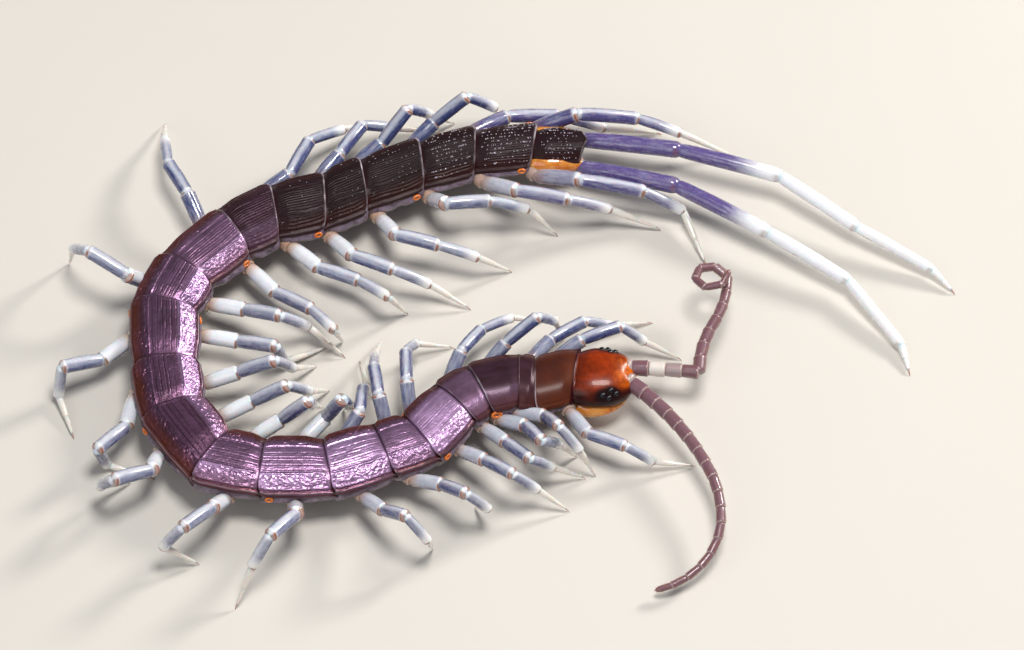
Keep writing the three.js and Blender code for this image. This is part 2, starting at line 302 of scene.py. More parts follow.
def tint(code):
    # A colour from its usual six-digit code, as the linear values that a shader wants.
    parts = [int(code[k : k + 2], 16) / 255 for k in (0, 2, 4)]
    return (*(p / 12.92 if p < 0.04045 else ((p + 0.055) / 1.055) ** 2.4 for p in parts), 1.0)


class Shader:
    def __init__(self, name):
        self.material = bpy.data.materials.new(name)
        self.material.use_nodes = True
        self.tree = self.material.node_tree
        self.tree.nodes.clear()

    def node(self, kind, settings=None, sockets=None, out=0):
        made = self.tree.nodes.new(kind)
        for key, value in (settings or {}).items():
            setattr(made, key, value)
        for key, value in (sockets or {}).items():
            if isinstance(value, Signal):
                self.tree.links.new(value.socket, made.inputs[key])
            else:
                made.inputs[key].default_value = value
        return Signal(self, made.outputs[out]) if made.outputs else None

    def mark(self, label, out="Fac"):
        return self.node("ShaderNodeAttribute", {"attribute_name": label}, out=out)

    def noise(self, size, detail=3.0, roughness=0.55, where=None):
        # size is how wide one blotch is, in metres unless where is in other units
        return self.node("ShaderNodeTexNoise", None, {
            "Vector": where or self.place(), "Scale": 1 / size, "Detail": detail, "Roughness": roughness})

    def cells(self, size):
        return self.node("ShaderNodeTexVoronoi", None, {"Vector": self.place(), "Scale": 1 / size})

    def place(self):
        return self.node("ShaderNodeTexCoord", out="Object")

    def stretch(self, where, scale):
        return self.node("ShaderNodeVectorMath", {"operation": "MULTIPLY"}, {0: where, 1: scale})

    def ramp(self, value, low=0.3, high=0.7, toLow=0.0, toHigh=1.0):
        return self.node("ShaderNodeMapRange", {"clamp": True}, {
            "Value": value, "From Min": low, "From Max": high, "To Min": toLow, "To Max": toHigh})

    def rough(self, noise, low, high):
        return self.ramp(noise, 0.2, 0.8, low, high)

    def mix(self, factor, first, second):
        # Each colour is a socket or a six-digit code.
        first, second = (tint(shade) if isinstance(shade, str) else shade for shade in (first, second))
        return self.node("ShaderNodeMix", {"data_type": "RGBA"}, {0: factor, 6: first, 7: second}, out=2)

    def cover(self, base, layers):
        # Colours laid over the base, one after the other, each where its mask says.
        for mask, shade in layers:
            base = self.mix(mask, base, shade)
        return base

    def bump(self, height, depth, strength, normal=None):
        sockets = {"Height": height, "Distance": depth * mm, "Strength": strength}
        if normal:
            sockets["Normal"] = normal
        return self.node("ShaderNodeBump", None, sockets)

    def finish(self, base, rough, coat=(0.0, 0.03), deep=(0.0, 50.0), more=None):
        # coat is its weight and roughness; deep is how much light sinks in, and how many mm
        skin = self.node("ShaderNodeBsdfPrincipled", None, {
            "Base Color": base, "Roughness": rough, "Coat Weight": coat[0], "Coat Roughness": coat[1],
            "Subsurface Weight": deep[0], "Subsurface Scale": deep[1] * mm, **(more or {})})
        self.node("ShaderNodeOutputMaterial", None, {"Surface": skin})
        return self.material


def cloudyLook(name, size, colours, rough, coat=(0.0, 0.03), detail=2.0):
    # Two colours in soft clouds that are size mm wide.
    shader = Shader(name)
    clouds = shader.noise(size * mm, detail)
    return shader.finish(shader.mix(clouds, *colours), shader.rough(clouds, *rough), coat)


# Back plates: one solid shell for each segment, keeled and wrinkled, over the next one's front


def plateShell():
    look = {"brown": "1b100f", "violet": "6b4660", "plum": "452b35", "rust": "582a18", "painted_sheen": "d4addb",
            "seam": "32090d", "edge": "e4d8e2", "ember": "5a2812", "crease": "1c0d16",
            "metal": 0.85, "pitSize": 0.085, "depth": 0.012}
    shader = Shader("plateShell")
    lay, violet, gloss = shader.mark("lay", "Vector"), shader.mark("violet"), shader.mark("gloss")
    flank = shader.mark("flank")
    streaks = shader.noise(0.6, 2.0, 0.5, shader.stretch(lay, (0.4, 1.0, 1.0)))
    clouds = shader.noise(0.9 * mm)
    base = shader.mix(shader.ramp(streaks, 0.3, 0.75), look["plum"], look["violet"])
    base = shader.cover(shader.mix(violet, look["brown"], base), [
        # the sheen is a painted lavender reflection where the light falls
        (shader.mark("painted_sheen") * shader.ramp(clouds, 0.25, 0.65, 0.45, 1.0), look["painted_sheen"]),
        # painted shade in the creases, dark along the furrows
        (shader.mark("crease") * 0.8, look["crease"]),
        (shader.mark("ember") * shader.ramp(clouds, 0.3, 0.7, 0.5, 1.0), look["ember"]),
        (flank * shader.ramp(clouds, 0.25, 0.7, 0.6, 1.0), look["rust"]),
        (shader.mark("seam"), look["seam"]),
        # the edge is a painted glint along the rear line and the raised rim
        (shader.mark("edge") * shader.ramp(clouds, 0.3, 0.65, 0.3, 1.0), look["edge"])])
    fine = shader.noise(0.07, 4.0, 0.6, shader.stretch(lay, (0.35, 1.0, 1.0)))
    dull = 1 - gloss
    pitted = shader.bump(shader.cells(look["pitSize"] * mm) * dull, look["depth"], 0.3)
    relief = shader.bump(fine * dull, look["depth"], 0.5, pitted)
    rough = shader.rough(fine, 0.26, 0.42) + gloss * 0.04
    return shader.finish(base, rough, (gloss * 0.1 + 0.01, 0.2), more={
        "Metallic": violet * (1 - flank * 0.7) * look["metal"], "Specular IOR Level": 0.1, "Normal": relief})


plates = {
    "across": 150, "rows": 68, "rearRows": 8, "drop": 0.72, "arch": 2.9,
    "frontTuck": 0.92, "tailTuck": 0.12, "corner": 0.07, "frontDip": 0.12,
    "under": 0.07, "over": 0.03, "lip": 0.012,
    "keel": 0.045, "keelWide": 0.03, "keelPlaces": (0.46, 0.86),
    "crease": 0.03, "creaseWide": 0.012, "creasePlaces": (0.05, 0.2, 0.35), "wobble": 0.012,
    "wrinkle": 0.06, "wrinkledFrom": (0.42, 0.54), "striae": 0.014, "striaeApart": 0.083,
    "rim": 0.05, "rimPlace": 0.955, "rimGroove": 0.045, "groovePlace": 0.895,
    # the last rows sink to close the rear margin, and the under side runs from the right rim to the middle
    "sinks": (0.01, 0.045, 0.1),
    "underside": ((1.0, -0.86), (0.97, -0.93), (0.9, -0.9), (0.72, -0.448), (0.38, -0.228)),
}
# How violet, how keeled, how wrinkled and how finely lined each plate is, from neck to tail
violets = [0.1, 0.3, 0.35, 0.5, 0.85, 0.95] + [1] * 7 + [0.8, 0.25, 0.08, 0.04, 0.04, 0.05, 0.08, 0.08]
keels = [0, 0, 0.05, 0.15, 0.5, 0.8, 1, 1, 1, 1, 1, 1, 1, 0.9, 0.7, 0.6, 0.55, 0.5, 0.4, 0.3, 0.2]
wrinkles = [0, 0, 0.05, 0.15, 0.7, 0.9, 1, 1, 0.8, 0.9, 1, 1, 1, 0.7, 0.35, 0.25, 0.2, 0.2, 0.2, 0.2, 0.2]
striae = [0, 0, 0, 0.05, 0.1, 0.12, 0.12, 0.12, 0.12, 0.12, 0.12, 0.12, 0.15, 0.4, 1, 1, 1, 1, 0.9, 0.6, 0.3]
# How much of the trunk's width each plate covers, and how smooth and bright it is
plateShares = [0.97, 0.97, 0.96, 0.96] + [0.95] * 5 + [0.94] * 4 + [0.92] * 7 + [0.9]
glosses = [1.0, 1.0, 0.9, 0.75, 0.2] + [0] * 16
# How far the painted lavender sheen shows along the middle, and on one flank: the sign says which. It is a
# painted reflection, laid where the light falls on each plate
paintedSheenMiddles = [0, 0, 0, 0.15, 0.85, 0.35, 0.85, 0.5, 0.25, 0.08, 0.12, 0.15, 0.2, 0.2] + [0] * 7
paintedSheenFlanks = [0, 0, -0.1, -0.3, -0.9, -0.6, -0.9, -0.85, -0.5, 0.5, 0.95, 1, 0.95, 0.5, 0.1] + [0] * 6
# How bright the painted glint on the rear line of each plate is, and how rusty its flanks are
rearGlints = [0.7] * 4 + [0.15] * 9 + [1.0] * 8
rusts = [1.0] * 14 + [0.35] * 7
# Ember brown at the front of the first plates, and how much of it is gone at the rear
embers = [(0.95, 0.4), (0.12, 0.0)] + [(0.0, 0.0)] * 19


def plateHeight(side, index):
    return backAt(index) - plates["drop"] * np.abs(side) ** plates["arch"]


def plateSlope(side, half):
    return -plates["drop"] * plates["arch"] * np.abs(side) ** (plates["arch"] - 1) * np.sign(side) / half


def plateDip(along):
    # How much lower the front of a plate lies, to pass under the one before.
    return plates["frontDip"] * (1 - smooth(along, -0.05, 0.3)) + 0.1 * smooth(-along, 0, 0.07)


def plateCreases(index, along, spot, side):
    # Thin furrows that run along the middle of a plate and fade in places, from 0 to 1.
    lines = 0.0
    for number, place in enumerate(plates["creasePlaces"]):
        fade = 0.5 + 0.5 * blotches(along * 2.3 + number * 5, np.sign(side) * 3, index)
        lines = lines + fade * bell(spot, place, plates["creaseWide"])
    return lines


def plateRelief(index, along, side):
    # How far the plate's surface stands out, in mm, at a share along it and a share across it.
    keel, outer = keels[index], np.abs(side)
    waver = blotches(along * 3.1, side * 4.0, index)
    spot = outer + plates["wobble"] * waver
    relief = -plates["crease"] * keel * plateCreases(index, along, spot, side)
    for place in plates["keelPlaces"]:
        relief = relief + plates["keel"] * keel * bell(spot, place, plates["keelWide"])
    ridged = 1 - np.abs(blotches(along * 9 + side * 5, side * 7 - along * 3, index + 31)) * 2
    finer = 1 - np.abs(blotches(along * 23 - side * 8, side * 17 + along * 6, index + 57)) * 2
    zone = 0.16 + 0.84 * smooth(spot, *plates["wrinkledFrom"])
    relief = relief + plates["wrinkle"] * wrinkles[index] * zone * (ridged + finer) / 2
    lines = np.cos(side * 2 * np.pi / plates["striaeApart"] + 2 * waver)
    relief = relief + plates["striae"] * striae[index] * lines
    # the surface is even near the margins
    relief = relief * smooth(along, 0.02, 0.12) * smooth(1 - along, 0.01, 0.05)
    relief = relief * smooth(0.93 - outer, 0, 0.05)
    rimmed = 0.35 + 0.65 * keel
    relief = relief - plates["rimGroove"] * rimmed * bell(outer, plates["groovePlace"], 0.022)
    relief = relief + plates["rim"] * rimmed * bell(outer, plates["rimPlace"], 0.03)
    return relief + plates["lip"] * smooth(along, 0.95, 0.985)


def plateMarks(index, along, side):
    # What the material reads on the upper side of a plate, and what it reads on the under side.
    outer, violet, keel, rust = np.abs(side), violets[index], keels[index], rusts[index]
    # The sheen here is a painted reflection: bright lavender along the middle and on the flank that faces the
    # light, where the rusty flank fades
    painted_sheen, towards = abs(paintedSheenFlanks[index]), np.clip(side * np.sign(paintedSheenFlanks[index]), 0, 1)
    flank = smooth(outer, 0.5, 0.85) * (0.45 + 0.45 * violet) * (1 - painted_sheen * smooth(towards, 0.1, 0.4) * 0.85)
    flankPaintedSheen = painted_sheen * smooth(towards, 0.3, 0.5) * (1 - smooth(towards, 0.84, 0.92))
    middlePaintedSheen = paintedSheenMiddles[index] * (1 - smooth(outer, 0.45, 0.75))
    # Painted shade: dark along the same furrows that plateRelief cuts with plateCreases
    creaseShades = np.clip(plateCreases(index, along, outer, side), 0, 1) * smooth(along, 0.02, 0.12)
    # The edge is a painted glint: a broken pale line on the rear margin, brighter on one side, and a faint
    # one on the raised rim
    broken = 0.55 + 0.45 * blotches(side * 5, side * 0, index + 11)
    rearGlint = bell(along, 0.996, 0.015) * rearGlints[index] * broken
    rearGlint = rearGlint * (0.35 + 0.65 * smooth(-side, -0.35, 0.1))
    return {
        "violet": (violet, violet),
        "gloss": (glosses[index], glosses[index]),
        "flank": (flank * rust, min(0.7, rust)),
        "painted_sheen": (np.maximum(middlePaintedSheen, flankPaintedSheen), 0),
        "crease": (keel * creaseShades, 0),
        "edge": (rearGlint + 0.25 * bell(outer, plates["rimPlace"], 0.016) * keel, 0.05),
        "ember": (embers[index][0] - embers[index][1] * smooth(along), 0),
        "seam": (1 - smooth(along, 0.0, 0.05), 0),
    }


def plateShape(shape, index):
    length, width = segments[index][:2]
    rear = 1 + plates["over"] / length
    rows = np.concatenate([[-plates["under"]], np.linspace(0, 0.9, plates["rows"]),
                           np.linspace(0.92, 1.0, plates["rearRows"]), [rear, rear]])
    along, side = grid(rows, np.linspace(-1, 1, plates["across"]))
    tuck = plates["frontTuck"] + (1 - plates["frontTuck"]) * smooth(along, 0, 0.4)
    tuck = tuck * (1 - plates["corner"] * smooth(along, 0.84, 1.0) ** 2)
    bow = -0.16 * np.abs(side) ** 8 * smooth(along, 0.5, 1) / length
    if index == lastSegment:
        # it narrows to the rear and ends in a blunt point
        tuck = tuck * (1 - plates["tailTuck"] * smooth(along, 0.3, 1))
        bow = (0.42 * (1 - np.abs(side)) - 0.1) * smooth(along, 0.45, 1) / length
    dip = plateDip(along)
    half = width / 2 * tuck * plateShares[index]
    slope = plateSlope(side, half)
    steep = np.hypot(1, slope)
    relief = plateRelief(index, along, side)
    relief[-3:] -= np.array(plates["sinks"])[:, None]
    height = plateHeight(side, index) - dip + relief / steep
    outer = trunkPlace(index, along + bow, side * half - relief * slope / steep, height)
    underside = [*plates["underside"], *((-share, depth) for share, depth in reversed(plates["underside"]))]
    inner = [trunkPlace(index, rows + bow[:, -1] * abs(share), share * half[:, 0],
                        backAt(index) + depth - dip[:, 0]) for share, depth in underside]

    def spread(values, under):
        upper = np.broadcast_to(values, along.shape)
        return np.concatenate([upper, np.full((len(rows), len(underside)), under, float)], 1)

    marks = {label: spread(*pair) for label, pair in plateMarks(index, along, side).items()}
    lengthwise, crosswise = spread(along * length, 0.0), spread(side * width * 0.6, 3.0)
    marks["lay"] = np.stack([lengthwise, crosswise, np.full(lengthwise.shape, index * 7.0)], -1)
    shape.tube(np.concatenate([outer, np.stack(inner, 1)], 1), marks)


def segmentNode(index):
    first = index // 2 * 2 + 1
    return f"trunk_{first}_{first + 1}" if first <= lastSegment else f"trunk_{first}"


plateLook = plateShell()
for first in range(0, lastSegment + 1, 2):
    shape = Shape()
    for index in range(first, min(first + 2, lastSegment + 1)):
        plateShape(shape, index)
    slotName = "violet_shell" if 4 <= first < 14 else "brown_shell"
    node = segmentNode(first)
    shape.build(node.replace("trunk", "back_plates"), plateLook, slotName, [node])
print("back plates ready")


# Rows of pale spinules on the last plates

spinules = {"radius": 0.026, "height": 0.034, "sides": 6, "rows": 11, "rowsApart": 1 / 6.2,
            "counts": [0] * 14 + [5, 10, 18, 45, 125, 155, 100], "sizes": [0.9] * 18 + [1.15] * 3}
spinuleDraws = np.random.default_rng(7)

shape = Shape()
for index, count in enumerate(spinules["counts"]):
    half = segments[index][1] / 2 * plateShares[index]
    for _ in range(count):
        row = spinuleDraws.integers(1, spinules["rows"] + 1) - (spinules["rows"] + 1) // 2
        side = row * spinules["rowsApart"] + spinuleDraws.normal(0, 0.01)
        along = 0.1 + 0.84 * spinuleDraws.random()
        height = plateHeight(side, index) + plateRelief(index, along, side) - plateDip(along)
        here = trunkPlace(index, along, side * half, height)
        right = unit(trunkPlace(index, along, 1.0, 0) - trunkPlace(index, along, 0.0, 0))
        normal = unit(up - right * plateSlope(side, half))
        size = (0.75 + 0.5 * spinuleDraws.random()) * spinules["sizes"][index]
        radius, tall = spinules["radius"] * size, spinules["height"] * size
        shape.tube(dome(here, normal, radius, tall, spinules["sides"]))
spinuleLook = cloudyLook("spinuleGlass", 0.2, ("8a7c8c", "d9d2dc"), (0.1, 0.25), (1.0, 0.05))
shape.build("plate_spinules", spinuleLook, "brown_shell")
print("spinules ready")


# The soft skin of the trunk, from under the plates down the flanks and over the belly


def flankSkin():
    look = {"grey": "54424f", "lavender": "857486", "amber": "8a5a34", "dark": "2c1e25", "grainSize": 0.09}
    shader = Shader("flankSkin")
    clouds = shader.noise(0.5 * mm, 4.0)
    grains = shader.cells(look["grainSize"] * mm)
    # fold: darker in the folds at the joints, with painted shade in the hollows between the lumps
    base = shader.cover(shader.mix(shader.ramp(clouds), look["grey"], look["lavender"]), [
        (shader.mark("fold"), look["dark"]), (shader.mark("amber") * 0.8, look["amber"])])
    relief = shader.bump(grains, 0.04, 0.7, shader.bump(clouds, 0.08, 0.6))
    return shader.finish(base, shader.ramp(grains, 0.1, 0.7, 0.22, 0.45), (0.5, 0.1), (0.15, 0.4),
                         {"Normal": relief})


flanks = {"around": 96, "perSegment": 26, "fold": 0.07, "swell": 0.09, "lump": 0.05, "frontTuck": 0.93,
          "tailTuck": 0.25, "low": (1.25, 1.5), "high": (2.35, 2.7)}


def skinSection(index):
    # The trunk's outline as shares of the half width and heights, from the back down one side and round.
    back, belly = backAt(index), trunk["belly"]
    side = [(0.0, back - 0.2), (0.38, back - 0.24), (0.7, back - 0.44), (0.86, back - 0.82),
            (0.92, back - 1.02), (0.93, 2.1), (0.86, 1.78), (0.74, 1.5),
            (0.58, belly + 0.09), (0.3, belly + 0.05), (0.0, belly + 0.05)]
    half = smoothLine(side, flanks["around"] // 2 + 1)
    return np.concatenate([half, half[-2:0:-1] * (-1, 1)])


rings, darkFoldsAndHollowShade, ambers = [], [], []
for index, (length, width, _, hip, _) in enumerate(segments):
    section = skinSection(index)
    isLast = index == lastSegment
    rows = np.arange(flanks["perSegment"] + isLast) / flanks["perSegment"]
    along, spot = grid(rows, np.arange(len(section)))
    share, height = section[spot, 0], section[spot, 1]
    tuck = flanks["frontTuck"] + (1 - flanks["frontTuck"]) * smooth(along, 0, 0.5)
    tuck = tuck * (1 - flanks["tailTuck"] * isLast * smooth(along, 0.3, 1))
    joint = bell(along, 0, 0.07) + bell(along, 1, 0.07)
    zone = smooth(height, *flanks["low"]) * (1 - smooth(height, *flanks["high"]))
    lumps = blotches(along * length * 2.2 + index * 9, height * 3.1, 3)
    lumps = flanks["lump"] * (lumps + 0.4 * blotches(along * length * 5.5, height * 8 + index, 8))
    swelling = flanks["swell"] * (bell(along, 0.3, 0.16) + bell(along, 0.72, 0.14)) * bell(height, 2.1, 0.3)
    grow = (zone * (lumps + swelling) - flanks["fold"] * joint) * smooth(np.abs(share), 0.1, 0.5)
    rise = 0.06 * joint * (1 - smooth(height, 1.1, 1.5)) - 0.08 * joint * smooth(height, 2.4, 3.0)
    rings.append(trunkPlace(index, along, share * width / 2 * tuck + np.sign(share) * grow, height + rise))
    # painted shade in the hollows between the lumps, and darker in the folds at the joints
    darkFoldsAndHollowShade.append(zone * smooth(-lumps, 0.01, 0.05) * 0.7 + joint * 0.5)
    ambers.append(bell(along, hip, 0.22) * (1 - smooth(height, 1.75, 2.0)) * smooth(height, 1.2, 1.5))
shape = Shape()
shape.tube(np.concatenate(rings), {
    "fold": np.clip(np.concatenate(darkFoldsAndHollowShade), 0, 1), "amber": np.clip(np.concatenate(ambers), 0, 1)})
trunkNodes = sorted({segmentNode(index) for index in range(lastSegment + 1)})
shape.build("trunk_skin", flankSkin(), "brown_shell", trunkNodes)
print("trunk skin ready")


# Belly plates, with two long grooves each


def bellyShell():
    look = {"olive": "7a5a3c", "brown": "4c3329", "pitSize": 0.11}
    shader = Shader("bellyPlate")
    clouds = shader.noise(0.8 * mm, 4.0)
    base = shader.mix(shader.ramp(clouds), look["brown"], look["olive"])
    relief = shader.bump(shader.cells(look["pitSize"] * mm), 0.015, 0.4)
    return shader.finish(base, shader.rough(clouds, 0.2, 0.36), (0.4, 0.1), more={"Normal": relief})


bellies = {"rows": 20, "columns": 34, "share": 0.6, "bulge": 0.05, "groove": 0.02, "groovePlace": 0.42,
           "tailTuck": 0.45, "sunk": 0.03, "lid": 0.16, "lidShare": 0.97, "lidStep": -6}

shape = Shape()
for index, (_, width, _, _, _) in enumerate(segments):
    along, side = grid(np.linspace(0.06, 0.95, bellies["rows"]), np.linspace(-1, 1, bellies["columns"]))
    rounded = 1 - 0.16 * smooth(along, 0.7, 0.95) ** 2 - 0.1 * (1 - smooth(along, 0.06, 0.25))
    if index == lastSegment:
        rounded = rounded * (1 - bellies["tailTuck"] * smooth(along, 0.1, 0.95))
    sag = bellies["bulge"] * (1 - np.abs(side) ** 4) * (1 - np.abs(along * 2 - 1) ** 6)
    sag = sag - bellies["groove"] * bell(np.abs(side), bellies["groovePlace"], 0.05)
    aside = side * width / 2 * bellies["share"] * rounded
    lower = trunkPlace(index, along, aside, trunk["belly"] + bellies["sunk"] - sag)
    back = slice(None, None, bellies["lidStep"])
    lid = trunkPlace(index, along[:, back], aside[:, back] * bellies["lidShare"],
                     trunk["belly"] + bellies["lid"])
    shape.tube(np.concatenate([lower, lid], 1))
shape.build("belly_plates", bellyShell(), "brown_shell")
print("belly plates ready")


# Spiracles: oval orange rims with a dark slit, on some of the flanks


def spiracleOrange():
    look = {"orange": "c24e08", "bright": "f08a26", "slit": "3c1106"}
    shader = Shader("spiracleOrange")
    clouds = shader.noise(0.08 * mm)
    base = shader.mix(shader.ramp(clouds), look["orange"], look["bright"])
    base = shader.mix(shader.mark("slit"), base, look["slit"])
    return shader.finish(base, shader.rough(clouds, 0.2, 0.4), (0.6, 0.1))


spiracles = {"places": [3, 5, 8, 10, 12, 14, 16, 18, 20], "long": 0.17, "tall": 0.12, "tube": 0.06,
             "waves": 9, "along": 0.84, "height": 2.3, "share": 0.93, "proud": 0.03, "upward": 0.25,
             "firstSize": 1.35,
             "ringPoints": 28, "tubePoints": 10, "coreHeight": 0.03, "coreSides": 16}

shape = Shape()
for number in spiracles["places"]:
    _, width, course, _, _ = segments[number - 1]
    forward = heading(course)
    size = spiracles["firstSize"] if number == spiracles["places"][0] else 1.0
    for side in (-1, 1):
        aside = side * (width / 2 * spiracles["share"] + spiracles["proud"])
        here = trunkPlace(number - 1, spiracles["along"], aside, spiracles["height"])
        outward = unit(np.cross(forward, up) * side + spiracles["upward"] * up)
        tall = np.cross(outward, forward)
        ringTurns, tubeTurns = fullTurn(spiracles["ringPoints"]), fullTurn(spiracles["tubePoints"])
        line = oval(ringTurns, forward * spiracles["long"], tall * spiracles["tall"]) * size
        radial = line / np.linalg.norm(line, axis=1)[:, None]
        wave = (1 + 0.15 * np.cos(ringTurns * spiracles["waves"]))[:, None] * spiracles["tube"] * size
        rim = (here + line[:, None] + radial[:, None] * (np.cos(tubeTurns) * wave)[..., None]
               + outward * (np.sin(tubeTurns) * wave)[..., None])
        shape.tube(rim, {"slit": 0.0}, isLoop=True)
        core = dome(here + outward * 0.005, outward, spiracles["tall"] * size, spiracles["coreHeight"],
                    spiracles["coreSides"])
        shape.tube(core, {"slit": np.array([0.3, 0.3, 0.3, 1.0])[:, None]})
shape.build("spiracles", spiracleOrange(), "brown_shell")
print("spiracles ready")


# Legs: six articles each, with flared ends, hinge marks and a claw


def legCuticle():
    look = {"milk": "e8ebef", "blue": "3a4674", "plum": "5f4d86", "cream": "dcd3c0", "amber": "8a4a16",
            "hot": "b07c4c"}
    shader = Shader("legCuticle")
    streaks = shader.noise(0.22, 4.0, 0.6, shader.stretch(shader.mark("lay", "Vector"), (0.3, 1.0, 1.0)))
    clouds = shader.noise(0.35 * mm)
    # The core is the blue seen through the clear cuticle, with painted shade beneath and a painted highlight
    # along the top
    core = (shader.mark("core") * shader.ramp(streaks, 0.25, 0.65, 0.72, 1.15)).held()
    blood = shader.mix(shader.mark("plum"), look["blue"], look["plum"])
    base = shader.cover(shader.mix(core, look["milk"], blood), [
        (shader.mark("cream") * shader.ramp(clouds, 0.2, 0.7, 0.7, 1.0), look["cream"]),
        (shader.mark("root") * 0.7, look["hot"]),
        (shader.mark("hinge"), look["amber"])])
    return shader.finish(base, shader.rough(clouds, 0.2, 0.34), (0.9, 0.08), (0.35, 0.35),
                         {"Normal": shader.bump(streaks, 0.02, 0.35)})


legs = {
    "sides": 22, "rows": 28, "bow": 0.05, "trochanter": 0.35, "footRadius": 0.25,
    "articles": [2.0, 2.35, 2.2, 2.6], "articles20": [2.8, 3.5, 2.5, 3.3],
    "articles21": [5.3, 5.6, 5.0, 4.6, 1.8], "hipReach": 0.78, "hipReach21": 0.5,
    "frontPairs": 7, "frontLength": 0.9, "frontWidth": 0.92, "length19": 1.2,
    "radii": [(0.4, 0.43), (0.37, 0.385), (0.3, 0.3), (0.21, 0.075)],
    "radii20": [(0.42, 0.43), (0.38, 0.38), (0.3, 0.3), (0.22, 0.08)],
    "radii21": [(0.46, 0.47), (0.43, 0.42), (0.38, 0.37), (0.33, 0.29), (0.23, 0.08)],
    "hipRadii": (0.47, 0.43), "hipSunk": 0.25, "split": 0.58, "claw": 0.34, "clawRings": 12, "clawSides": 10,
}
# The course and slope of each article, from the hip outward. The slope of the last one brings it to the floor
rightPose = [
    [[302, 8], [336, 4], [355, -42], [5]],
    [[338, 25], [296, 38], [338, -54], [345]],
    [[325, 30], [298, 30], [40, -52], [30]],
    [[312, 20], [309, 22], [20, -50], [10]],
    [[320, 25], [318, 20], [0, -50], [350]],
    [[335, 22], [315, 32], [5, -55], [120]],
    [[310, 24], [315, 38], [335, -52], [75]],
    [[275, 46], [235, 20], [215, -58], [235]],
    [[245, 42], [230, 20], [180, -60], [5]],
    [[260, 33], [212, 22], [135, -58], [42]],
    [[260, 5], [232, 14], [50, -75], [344]],
    [[225, 5], [205, 18], [230, -78], [290]],
    [[215, 56], [152, 16], [128, -45], [118]],
    [[115, 20], [118, -4], [98, -18], [93]],
    [[34, 14], [64, 4], [32, -14], [56]],
    [[50, 14], [60, -4], [18, -30], [8]],
    [[36, 20], [42, 36], [39, -50], [32]],
    [[42, 20], [22, 36], [15, -45], [85]],
    [[27, 4], [8, -10], [355, -18], [0]],
    [[3, 28], [10, -20], [340, -4], [352]],
    [[349, 5], [343, -1], [325, -8], [331, -10], [315]],
]
leftPose = [
    [[27, 25], [18, 8], [2, -50], [350]],
    [[50, 2], [32, 2], [22, -40], [14]],
    [[38, 38], [30, 28], [41, -52], [31]],
    [[64, 28], [59, -16], [33, -12], [25]],
    [[98, 45], [92, -12], [70, -42], [15]],
    [[110, 50], [98, -12], [90, -40], [80]],
    [[46, 44], [86, -22], [72, -60], [105]],
    [[46, 12], [346, 66], [74, -64], [105]],
    [[28, 20], [0, 50], [84, -62], [66]],
    [[21, 18], [1, 38], [35, -52], [55]],
    [[8, 22], [355, 35], [41, -58], [50]],
    [[347, 5], [337, 20], [48, -75], [30]],
    [[341, 13], [332, 23], [17, -48], [332]],
    [[314, -4], [327, 7], [306, 15], [67]],
    [[318, 0], [337, 3], [318, 14], [26]],
    [[307, 18], [337, 0], [351, -26], [342]],
    [[299, 24], [345, -2], [348, -14], [12]],
    [[303, 42], [8, -5], [0, -20], [349]],
    [[324, 27], [346, 3], [9, -32], [354]],
    [[335, 25], [356, -12], [350, -31], [292]],
    [[345, 3], [329, -2], [328, -8], [307, -9], [284]],
]
# How blue the first article of each leg is, from neck to tail
leftBlue = [0.8] * 7 + [0.05] * 6 + [0.15] * 5 + [0.4, 0.7, 1.0]
rightBlue = [0.45] * 7 + [0.15] * 6 + [0.95] * 6 + [1.0, 1.0]


def legLengths(number):
    if number >= 20:
        return legs[f"articles{number}"]
    scale = legs["length19"] if number == 19 else 1.0
    if number <= legs["frontPairs"]:
        scale = legs["frontLength"]
    return [length * scale for length in legs["articles"]]


def legJoints(number, side, pose):
    length, width, course, hip, _ = segments[number - 1]
    outward = heading(course + side * 90)
    aside = legs["hipReach21"] if number == 21 else legs["hipReach"]
    root = starts[number - 1] + heading(course) * hip * length + outward * aside * width / 2
    root[2] = trunk["hipHeight"]
    joints = [root, root + unit(outward + heading(pose[0][0])) * legs["trochanter"]]
    for (turn, *slope), reach in zip(pose, legLengths(number)):
        if not slope:
            low = joints[-1][2]
            rest = 0.6 * legs["footRadius"] * math.cos(math.asin(-low / reach))
            slope = [math.degrees(math.asin((rest - low) / reach))]
        joints.append(joints[-1] + heading(turn, *slope) * reach)
    return joints


articleProfile = [(-0.05, 0.3), (-0.03, 0.55), (0.0, 0.76), (0.03, 0.87), (0.07, 0.93), (0.15, 0.97),
                  (0.3, 1.0), (0.5, 1.01), (0.68, 1.0), (0.82, 0.98), (0.89, 0.985), (0.935, 1.0),
                  (0.965, 0.99), (0.99, 0.93), (1.012, 0.82), (1.032, 0.64), (1.045, 0.42), (1.05, 0.22)]


def articleShape(shape, start, end, radii, paint, bow):
    # One article: a tube with a narrow root, a flared far end and closed caps.
    shares, swell = sampled(articleProfile, legs["rows"])
    inside = np.clip(shares, 0, 1)
    centres = start + shares[:, None] * (end - start)
    centres[:, 2] += bow * np.sin(inside * np.pi) * legs["bow"]
    along, turn = grid(inside, fullTurn(legs["sides"]))
    side, top = np.cos(turn), np.sin(turn)
    girth = radii[0] * 1.5
    lay = [along * np.linalg.norm(end - start), side * girth, top * girth + start[0] * 3]
    radius = (radii[0] + (radii[1] - radii[0]) * inside) * swell
    marks = {**paint(along, top, side), "lay": np.stack(lay, -1)}
    shape.tube(tubeRings(centres, radius, legs["sides"]), marks)


